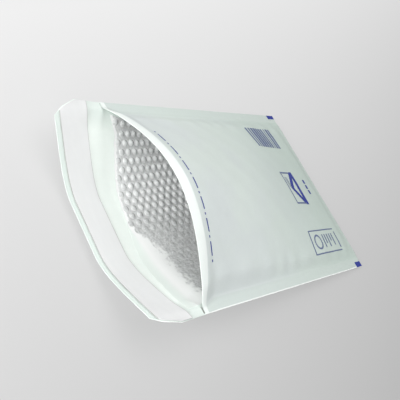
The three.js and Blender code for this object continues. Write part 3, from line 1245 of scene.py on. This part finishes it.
@dataclass
class BubbleLining:
    """The bubble film inside the paper: a thin sheet, with bubbles that stand into the pocket.

    A wave of its ragged edge has its share of the height, its turn per millimetre and its start. A run to the
    right has the place at which it starts and its length.
    """

    form: EnvelopeForm
    finish: Finish
    sheet_gap: float = 0.1
    film: float = 0.15
    side_margin: float = 2.8
    start: float = 1.0
    skew: float = 0.13
    skew_run: float = 70.0
    pitch: float = 8.1
    bubble_height: float = 1.7
    share_of_gap: float = 0.42
    bubble_radius: float = 2.9
    bubble_profile: float = 1.1
    bubble_foot: float = -0.06
    least_height: float = 0.2
    pressed_run: float = 16.0
    pressed_share: float = 0.35
    flat_run: float = 2.2
    flat_more: float = 19.0
    flat_right: Span = (-5.0, 40.0)
    right_share: float = 0.14
    low_right: Span = (-20.0, 40.0)
    clear_of_edge: float = 1.0
    bubble_sides: int = 10
    bubble_rings: int = 6
    panel_rows: int = 70
    fold_rows: int = 7
    half_columns: int = 34
    ragged: float = 0.25
    ragged_waves: tuple[Triple, ...] = ((1.0, 0.71, 0.0), (0.8, 0.37, 1.0))
    thinned: float = 0.8
    seed: int = 7

    @property
    def depths(self) -> Span:
        """Depths of the film's back and front below the paper's outer face."""
        back = self.form.paper + self.sheet_gap
        return back, back + self.film

    @property
    def half(self) -> float:
        """Half the film's width."""
        return self.form.pocket_half - self.side_margin

    def rows(self) -> list[Row]:
        """Finds the rows of the film, which start oblique and grow straight.

        Returns:
            The rows, from its lower to its upper mouth edge.
        """
        lower = np.linspace(self.start, self.form.fold_start, self.panel_rows, endpoint=False)
        upper = np.linspace(self.form.lip, self.form.fold_start, self.panel_rows, endpoint=False)
        skews = self.skew * (1.0 - soft_step((lower - self.start) / self.skew_run))
        return [
            *(Row(Panel.LOWER, place, -skew) for place, skew in zip(lower, skews, strict=True)),
            *(Row(Panel.FOLD, angle) for angle in np.linspace(0.0, math.pi, self.fold_rows)),
            *(Row(Panel.UPPER, place) for place in upper[::-1]),
        ]

    def build(self) -> None:
        """Builds the film and its bubbles."""
        columns = np.linspace(-self.half, self.half, 2 * self.half_columns + 1)
        sheet = SheetMesh()
        grids = sheet.lay(self.form, self.rows(), columns, self.depths)
        backs, fronts = (points.reshape(-1, len(columns), 3) for points in sheet.points)
        self._tear(columns, backs, fronts)
        sheet.close(*grids)
        mesh = sheet.mesh("film_sheet")
        self._mark_edges(mesh)
        add_piece("film_sheet", mesh, self.finish, "bubble_lining")
        bubbles = self._bubbles(columns, backs, fronts)
        add_piece("film_bubbles", bubbles, self.finish, "bubble_lining")

    def _tear(self, columns: Array, backs: Array, fronts: Array) -> None:
        """Makes the film's two cut edges slightly ragged, and thins them out.

        Args:
            columns: Places of the film's points across it.
            backs: Points of the film's back, which are moved.
            fronts: Points of its front, which are moved.
        """
        waves = sum(share * np.sin(turn * columns + start) for share, turn, start in self.ragged_waves)
        for edge, next_row in ((0, 1), (-1, -2)):
            for grid in (backs, fronts):
                outward = grid[edge] - grid[next_row]
                outward /= np.linalg.norm(outward, axis=-1, keepdims=True)
                grid[edge] += outward * (self.ragged * waves)[:, None]
            fronts[edge] += (backs[edge] - fronts[edge]) * self.thinned

    def _flat_edge(self, s: Array) -> Array:
        """Returns how far the film lies flat and milky from its cut edge, which is farther at its right."""
        begin, run = self.flat_right
        return self.flat_run + self.flat_more * soft_step((s - begin) / run)

    def _milky(self, s: Array, inward: Array) -> Array:
        """Returns how milky the film is at a distance from its cut edge, from 1 to 0."""
        return 1.0 - soft_step(inward / self._flat_edge(s) / 2.0)

    def _mark_edges(self, mesh: Mesh) -> None:
        """Gives the film's corners a value that falls from 1 at its cut edges to 0 past its flat part.

        Args:
            mesh: The film's mesh.
        """
        flat = np.zeros(len(mesh.loops) * 2, np.float32)
        mesh.uv_layers["flat"].data.foreach_get("uv", flat)
        s, along = flat.reshape(-1, 2).T / MM
        last = self.form.along(Row(Panel.UPPER, self.form.lip))
        carry(mesh, "milky", self._milky(s, np.minimum(along - self.start, last - along)), "CORNER")

    def _places(self, length: float) -> tuple[Array, Array]:
        """Finds where the bubbles stand.

        Args:
            length: The film's length.

        Returns:
            The bubbles' places across the film and their distances along it.
        """
        lines = round(2.0 * self.half / (self.pitch * math.sin(math.pi / 3.0)))
        steps = 2 * round(length / self.pitch)
        line, step = np.meshgrid(np.arange(lines), np.arange(1, steps))
        chosen = (line + step) % 2 == 1
        across = -self.half + (line[chosen] + 0.5) * 2.0 * self.half / lines
        return across, step[chosen] * length / steps

    def _heights(self, across: Array, y: Array, full: Array) -> Array:
        """Finds how high the bubbles stand: lower where the pocket closes, near the edges and at the right.

        Args:
            across: Their places across the film.
            y: Their distances from the mouth.
            full: Their distances from the film's flat edge.

        Returns:
            The heights.
        """
        room = self.form.film_gap(across, np.clip(y, 0.0, self.form.fold_start), self.depths[1])
        pressed = self.pressed_share + (1.0 - self.pressed_share) * soft_step(full / self.pressed_run)
        begin, run = self.low_right
        pressed *= 1.0 - (1.0 - self.right_share) * soft_step((across - begin) / run)
        return np.minimum(self.bubble_height, self.share_of_gap * room) * pressed

    def _bubbles(self, columns: Array, backs: Array, fronts: Array) -> Mesh:
        """Stands a dome on every place of the film's lattice.

        Args:
            columns: Places of the film's points across it.
            backs: Points of the film's back.
            fronts: Points of its front, which the bubbles stand on.

        Returns:
            The mesh of all bubbles.
        """
        middle = backs[:, len(columns) // 2]
        distance = np.concatenate([[0.0], np.cumsum(np.linalg.norm(np.diff(middle, axis=0), axis=1))])
        across, along = self._places(distance[-1])
        feet = on_grid(fronts, columns, distance, across, along)
        upright = feet - on_grid(backs, columns, distance, across, along)
        upright /= np.linalg.norm(upright, axis=-1, keepdims=True)
        y = feet[:, 1] - self.form.mouth_y
        inward = np.minimum(along, distance[-1] - along)
        full = inward - self._flat_edge(across)
        height = self._heights(across, y, full)
        standing = (height > self.least_height) & (full > self.clear_of_edge)
        standing &= y < self.form.fold_start - self.bubble_radius
        start = plain_mesh("bubble_places", feet[standing] * MM, [])
        carry(start, "upright", upright[standing])
        carry(start, "height", height[standing] * MM)
        carry(start, "milky", self._milky(across, inward)[standing])
        return self._domes(start)

    def _domes(self, start: Mesh) -> Mesh:
        """Stands domes on points.

        Args:
            start: The points, which carry their upright directions and heights.

        Returns:
            The mesh of the domes.
        """
        recipe = Recipe(
            "bubble_field",
            radius=self.bubble_radius * MM,
            sides=self.bubble_sides,
            rings=self.bubble_rings,
            foot=self.bubble_foot,
            profile=self.bubble_profile,
            seed=self.seed,
            material=self.finish.material,
        )
        graph, given = recipe.graph, recipe.given
        inputs = {"Segments": given("sides"), "Rings": given("rings"), "Radius": 1.0}
        ball = graph.field("GeometryNodeMeshUVSphere", "Mesh", {}, inputs)
        x, y, z = graph.parts(graph.field("GeometryNodeInputPosition", 0))
        above = z.at_least(0.0)
        dome = graph.vector(x, y, above ** given("profile") + z.at_most(0.0).at_least(given("foot")))
        shaped = graph.field("GeometryNodeSetPosition", 0, {}, {"Geometry": ball, "Position": dome})
        marked = recipe.store(recipe.store(shaped, "bubble_rise", above), "bubble_lean", y)
        upright = {"Vector": recipe.carried("upright", "FLOAT_VECTOR")}
        turn = graph.field("FunctionNodeAlignRotationToVector", 0, {"axis": "Z"}, upright)
        size = graph.vector(given("radius"), given("radius"), recipe.carried("height"))
        domes = recipe.stand(given("geometry"), marked, Rotation=turn, Scale=size)
        return recipe.mesh(recipe.store(domes, "bubble_shade", recipe.chance(), "INSTANCE"), start)


def on_grid(points: Array, columns: Array, distance: Array, across: Array, along: Array) -> Array:
    """Finds points between those of a grid.

    Args:
        points: The grid's points, of shape (rows, columns, 3).
        columns: Places of the grid's columns.
        distance: Places of its rows.
        across: Wanted places between the columns.
        along: Wanted places between the rows.

    Returns:
        One point for each wanted place.
    """
    i = np.clip(np.searchsorted(columns, across) - 1, 0, len(columns) - 2)
    j = np.clip(np.searchsorted(distance, along) - 1, 0, len(distance) - 2)
    u = ((across - columns[i]) / (columns[i + 1] - columns[i]))[:, None]
    v = ((along - distance[j]) / (distance[j + 1] - distance[j]))[:, None]
    near = points[j, i] * (1.0 - u) + points[j, i + 1] * u
    far = points[j + 1, i] * (1.0 - u) + points[j + 1, i + 1] * u
    return near * (1.0 - v) + far * v


@dataclass
class ClosingStrips:
    """The band of glue on the flap and the liner that covers it."""

    form: EnvelopeForm
    glue_finish: Finish
    liner_width: float = 26.0
    from_edge: float = 4.2
    side_margin: float = 0.5
    liner: float = 0.3
    glue_margin: float = 3.0
    glue: float = 0.2
    sheet_gap: float = 0.25
    half_columns: int = 40
    rows: int = 14

    def build(self) -> None:
        """Builds both strips, the glue below the liner."""
        form = self.form
        outer = form.flap - self.from_edge
        inner = outer - self.liner_width
        glue_depth = form.paper + self.sheet_gap
        glue = self._strip(
            (outer - self.glue_margin, inner + self.glue_margin, form.pocket_half),
            (glue_depth, glue_depth + self.glue),
            "glue_layer",
        )
        add_piece("glue_layer", glue, self.glue_finish, "glue_band")
        liner_depth = glue_depth + self.glue + self.sheet_gap
        edges = (outer, inner, form.half - self.side_margin)
        liner = self._strip(edges, (liner_depth, liner_depth + self.liner), "peel_liner")
        add_piece("peel_liner", liner, LinerFinish(outer * MM, inner * MM), "release_liner")

    def _strip(self, edges: Triple, depths: Span, name: str) -> Mesh:
        """Lays a strip along the flap.

        Args:
            edges: Its two distances from the mouth, and half its width on the straight part of the flap.
            depths: Depths of its two faces below the paper's outer face.
            name: The strip's name.

        Returns:
            The strip's mesh.
        """
        outer, inner, half = edges
        columns = np.linspace(-half, half, 2 * self.half_columns + 1)
        sheet = SheetMesh()
        sheet.close(*sheet.lay(self.form, self.form.flap_lines(outer, inner, self.rows), columns, depths))
        return sheet.mesh(name)


class Ink(Enum):
    """Inks of the print."""

    DEEP = "deep_blue_ink"
    PALE = "grey_blue_ink"


@dataclass(frozen=True)
class Stroke:
    """A printed line of even width with mitred corners, in millimetres across and along the flat panel."""

    path: tuple[Spot, ...]
    width: float
    closed: bool = False


def block(left: float, near: float, right: float, far: float) -> Stroke:
    """Returns a filled rectangle as one broad stroke."""
    middle = (near + far) / 2.0
    return Stroke(((left, middle), (right, middle)), far - near)


def ring(s: float, y: float, radius: float, width: float, sides: int = 24) -> Stroke:
    """Returns a ring as a closed stroke."""
    turns = np.linspace(0.0, 2.0 * math.pi, sides, endpoint=False)
    return Stroke(tuple((s + radius * math.cos(a), y + radius * math.sin(a)) for a in turns), width, True)


@dataclass(frozen=True)
class Figure:
    """A printed figure: its piece's name, its ink and its strokes."""

    name: str
    ink: Ink
    strokes: tuple[Stroke, ...]


@dataclass(frozen=True)
class DashLine:
    """The line of dashes and dots along the mouth, in millimetres on the flat panel."""

    start: Place = (-60.7, 18.0, 0.0)
    period: float = 16.87
    drift: float = -0.4
    dashes: int = 7
    dots: int = 8
    dash: float = 10.0
    dot: float = 1.7
    width: float = 1.2


@dataclass(frozen=True)
class BarRow:
    """A row of plain bars of uneven widths, in millimetres on the flat panel from the first bar's middle."""

    start: Place = (-62.5, 187.0, 0.0)
    count: int = 10
    pitch: float = 5.4
    length: float = 27.0
    narrow: float = 1.2
    wide: float = 4.6
    seed: int = 11


FIGURES = (
    Figure(
        "letter_sign",
        Ink.DEEP,
        (
            Stroke(((-14.0, 215.0), (4.0, 202.0), (22.0, 215.0)), 5.4),
            block(-16.0, 214.6, 24.0, 220.4),
            *(block(s, 239.5, s + 4.8, 243.5) for s in (-7.0, -0.6, 5.8)),
        ),
    ),
    Figure(
        "letter_outline",
        Ink.PALE,
        (
            Stroke(((-14.4, 216.0), (-14.4, 192.5), (22.4, 192.5), (22.4, 216.0)), 1.8),
            *(block(-9.0, y, 3.0, y + 0.9) for y in (196.5, 199.5)),
        ),
    ),
    Figure(
        "label_frame",
        Ink.PALE,
        (
            *(block(s, 184.2, s + 1.2, 246.0) for s in (53.2, 77.2)),
            block(54.4, 184.2, 77.2, 186.0),
            block(57.0, 244.6, 75.0, 246.6),
            ring(65.8, 199.0, radius=7.0, width=1.9),
            *(
                block(58.5, 211.5 + 5.6 * k, 58.5 + length, 213.6 + 5.6 * k)
                for k, length in enumerate((14.0, 10.0, 14.0, 8.0, 13.0))
            ),
        ),
    ),
    Figure(
        "corner_marks",
        Ink.DEEP,
        (block(-99.9, 261.0, -95.0, 274.4), block(94.0, 262.5, 99.9, 274.4)),
    ),
)


class FlatMarks:
    """Strokes on the flat panel, in millimetres, made of small cells so that they can bend."""

    def __init__(self, cell: float = 2.0) -> None:
        """Starts with no strokes."""
        self.cell = cell
        self.points: list[Place] = []
        self.faces: list[tuple[int, ...]] = []

    def draw(self, stroke: Stroke) -> None:
        """Adds a stroke.

        Args:
            stroke: The stroke.
        """
        corners = np.array(stroke.path, float)
        ahead = np.roll(corners, -1, axis=0) - corners
        if not stroke.closed:
            ahead[-1] = ahead[-2]
        ahead /= np.linalg.norm(ahead, axis=1, keepdims=True)
        behind = np.roll(ahead, 1, axis=0)
        if not stroke.closed:
            behind[0] = ahead[0]
        side = np.stack([-(ahead + behind)[:, 1], (ahead + behind)[:, 0]], axis=-1)
        side /= (side * np.stack([-ahead[:, 1], ahead[:, 0]], axis=-1)).sum(axis=1, keepdims=True)
        order = [*range(len(corners)), *([0] if stroke.closed else [])]
        for start, end in zip(order[:-1], order[1:], strict=True):
            self._run(corners[[start, end]], side[[start, end]], stroke.width)

    def _run(self, ends: Array, sides: Array, width: float) -> None:
        """Adds one straight run of a stroke, cut into cells both ways.

        Args:
            ends: Its two ends.
            sides: The directions of its cut ends.
            width: Its width.
        """
        count = max(1, math.ceil(np.linalg.norm(ends[1] - ends[0]) / self.cell))
        over = max(1, math.ceil(width / self.cell))
        base = len(self.points)
        for t in np.linspace(0.0, 1.0, count + 1):
            middle, side = (pair[0] + (pair[1] - pair[0]) * t for pair in (ends, sides))
            for u in np.linspace(-0.5, 0.5, over + 1):
                self.points.append((*(middle + side * u * width), 0.0))
        for k in range(count):
            for m in range(over):
                a = base + k * (over + 1) + m
                self.faces.append((a, a + over + 1, a + over + 2, a + 1))


@dataclass
class PanelPrint:
    """Plain print on the upper panel: a fold line, a bar code, a sign, a boxed label and corner marks."""

    form: EnvelopeForm
    inks: Mapping[Ink, Finish]
    line: DashLine = DashLine()
    bars: BarRow = BarRow()
    figures: tuple[Figure, ...] = FIGURES
    dash_points: int = 8
    dot_points: int = 3
    bar_points: int = 14
    lift: float = 0.14
    film: float = 0.05
    sharp_from: float = 60.0

    def build(self) -> None:
        """Builds every printed mark."""
        self._print("fold_line", self._fold_line(), Ink.DEEP)
        self._print("bar_code", self._bar_code(), Ink.PALE)
        for figure in self.figures:
            marks = FlatMarks()
            for stroke in figure.strokes:
                marks.draw(stroke)
            self._print(figure.name, plain_mesh("flat_marks", marks.points, marks.faces), figure.ink)

    def _print(self, name: str, flat: Mesh, ink: Ink) -> None:
        """Bends flat marks onto the upper panel and gives them a skin of ink.

        Args:
            name: The marks' name.
            flat: Their flat mesh, in millimetres across and along the panel.
            ink: Their ink.
        """
        places = np.zeros(len(flat.vertices) * 3, np.float32)
        flat.vertices.foreach_get("co", places)
        s, y, _ = places.astype(float).reshape(-1, 3).T
        level = np.minimum(y, self.form.fold_start)
        points = self.form.upper(s, level)
        points[:, 1] += y - level
        outward = self.form.normal(self.form.upper, s, level)
        outward[np.abs(s) >= self.form.pocket_half] = (0.0, 0.0, 1.0)
        faces = [tuple(face.vertices) for face in flat.polygons]
        count = len(points)
        skin = [
            *faces,
            *(tuple(number + count for number in face[::-1]) for face in faces),
            *((b, a, a + count, b + count) for a, b in self._open_edges(faces)),
        ]
        solid = np.concatenate([points + outward * (self.lift + self.film), points + outward * self.lift])
        bpy.data.meshes.remove(flat)
        mesh = plain_mesh(name, solid * MM, skin)
        add_piece(name, mesh, self.inks[ink], sharp_from=self.sharp_from)

    @staticmethod
    def _open_edges(faces: Sequence[tuple[int, ...]]) -> list[tuple[int, int]]:
        """Returns the edges that only one face has, in that face's direction."""
        edges = {(face[k], face[(k + 1) % len(face)]) for face in faces for k in range(len(face))}
        return sorted(edge for edge in edges if edge[::-1] not in edges)

    def _fold_line(self) -> Mesh:
        """Lays out the line of dashes and dots that runs along the mouth.

        Returns:
            The flat mesh, in millimetres.
        """
        recipe = Recipe("dash_dot_line", **asdict(self.line), material=self.inks[Ink.DEEP].material)
        graph, given = recipe.graph, recipe.given
        period = given("period")
        step = graph.vector(period, given("drift"))
        marks = []
        for count, lead, length, points in (
            ("dashes", period, "dash", self.dash_points),
            ("dots", period / 2.0, "dot", self.dot_points),
        ):
            shift = {"Geometry": recipe.places(count, step), "Offset": graph.vector(lead)}
            places = graph.field("GeometryNodeSetPosition", 0, {}, shift)
            marks.append(recipe.stand(places, recipe.patch(given(length), given("width"), points)))
        joined = graph.field("GeometryNodeJoinGeometry", 0, {}, {0: marks})
        return recipe.mesh(joined, bpy.data.meshes.new("fold_line_start"))

    def _bar_code(self) -> Mesh:
        """Lays out the row of bars that lie across the panel.

        Returns:
            The flat mesh, in millimetres.
        """
        recipe = Recipe("bar_row", **asdict(self.bars), material=self.inks[Ink.PALE].material)
        graph, given = recipe.graph, recipe.given
        width = recipe.chance(given("narrow"), given("wide"))
        size = graph.vector(given("length"), width, 1.0)
        places = recipe.places("count", graph.vector(0.0, given("pitch")))
        bars = recipe.stand(places, recipe.patch(1.0, 1.0, self.bar_points), Scale=size)
        return recipe.mesh(bars, bpy.data.meshes.new("bar_row_start"))


@dataclass(frozen=True)
class Lamp:
    """A soft square lamp: its place and the length of its sides in metres, and its power in watts."""

    name: str
    place: Place
    size: float
    power: float


@dataclass(frozen=True)
class Studio:
    """Table, soft lamps and camera, in metres."""

    table_half: float = 4.0
    table: Finish = TableFinish()
    lamps: tuple[Lamp, ...] = (
        Lamp("front", (-0.15, -1.2, 0.4), 0.4, 10.0),
        Lamp("top", (-0.1, -0.1, 1.4), 1.4, 15.5),
        Lamp("side", (0.5, -0.95, 0.8), 0.8, 5.0),
    )
    aim: Place = (0.0, 0.0, 0.03)
    world_colour: Colour = (1.0, 1.0, 1.0)
    world_light: float = 0.2
    backdrop: Colour = srgb(222, 222, 222)
    camera_place: Place = (0.13507, -0.39922, 0.32141)
    camera_right: Place = (0.449322, 0.673241, 0.587247)
    camera_down: Place = (0.847811, -0.114104, -0.517878)
    lens: float = 51.474
    sensor: float = 36.0
    nearest: float = 0.01

    def build(self) -> None:
        """Builds the whole studio."""
        self._table()
        self._world()
        for lamp in self.lamps:
            self._hang(lamp)
        self._camera()
        bpy.context.scene.view_settings.view_transform = "Standard"

    def _table(self) -> None:
        """Adds the table top."""
        half = self.table_half
        corners = [(-half, -half, 0.0), (half, -half, 0.0), (half, half, 0.0), (-half, half, 0.0)]
        mesh = plain_mesh("table", corners, [(0, 1, 2, 3)])
        mesh.materials.append(self.table.material)
        table = bpy.data.objects.new("table", mesh)
        bpy.context.scene.collection.objects.link(table)

    def _world(self) -> None:
        """Adds an even soft light from all around, which looks as pale as the table."""
        world = bpy.data.worlds.new("studio")
        world.use_nodes = True
        graph = Graph(world.node_tree)
        light, backdrop = (
            graph.field("ShaderNodeBackground", 0, {}, {"Color": rgba(colour), "Strength": strength})
            for colour, strength in ((self.world_colour, self.world_light), (self.backdrop, 1.0))
        )
        inputs = {0: graph.seen_directly(), 1: light, 2: backdrop}
        surface = graph.field("ShaderNodeMixShader", 0, {}, inputs)
        graph.node("ShaderNodeOutputWorld", {}, {"Surface": surface})
        bpy.context.scene.world = world

    def _hang(self, lamp: Lamp) -> None:
        """Adds a lamp that points at the envelope.

        Args:
            lamp: The lamp.
        """
        light = bpy.data.lights.new(lamp.name, "AREA")
        light.size = lamp.size
        light.energy = lamp.power
        holder = bpy.data.objects.new(lamp.name, light)
        holder.location = lamp.place
        toward = Vector(self.aim) - Vector(lamp.place)
        holder.rotation_euler = toward.to_track_quat("-Z", "Y").to_euler()
        bpy.context.scene.collection.objects.link(holder)

    def _camera(self) -> None:
        """Adds the camera at the photograph's place."""
        lens = bpy.data.cameras.new("camera")
        lens.lens = self.lens
        lens.sensor_width = self.sensor
        lens.clip_start = self.nearest
        camera = bpy.data.objects.new("camera", lens)
        right = Vector(self.camera_right).normalized()
        back = right.cross(-Vector(self.camera_down)).normalized()
        turn = Matrix((right, back.cross(right), back)).transposed()
        camera.matrix_world = Matrix.Translation(self.camera_place) @ turn.to_4x4()
        bpy.context.scene.collection.objects.link(camera)
        bpy.context.scene.camera = camera


def main() -> None:
    """Builds the envelope and its studio."""
    logging.basicConfig(level=logging.INFO, format="%(name)s %(message)s")
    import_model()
    form = EnvelopeForm(mouth_y=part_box("paper_pocket")[1].y / MM - EnvelopeForm.length)
    Studio().build()
    ends = [form.along(Row(panel, form.lip)) * MM for panel in (Panel.LOWER, Panel.UPPER)]
    folded_at = form.along(Row(Panel.FOLD, math.pi / 2.0)) * MM
    PaperPocket(form, PaperFinish(*ends, folded_at, form.half * MM, form.seam * MM)).build()
    BubbleLining(form, FilmFinish()).build()
    ClosingStrips(form, GlueFinish()).build()
    deep = InkFinish(Ink.DEEP.value, ink=srgb(40, 54, 138), worn=srgb(86, 98, 160))
    pale = InkFinish(Ink.PALE.value, ink=srgb(100, 112, 144), worn=srgb(150, 160, 178))
    PanelPrint(form, {Ink.DEEP: deep, Ink.PALE: pale}).build()
    bpy.context.view_layer.update()


if __name__ == "__main__":
    main()
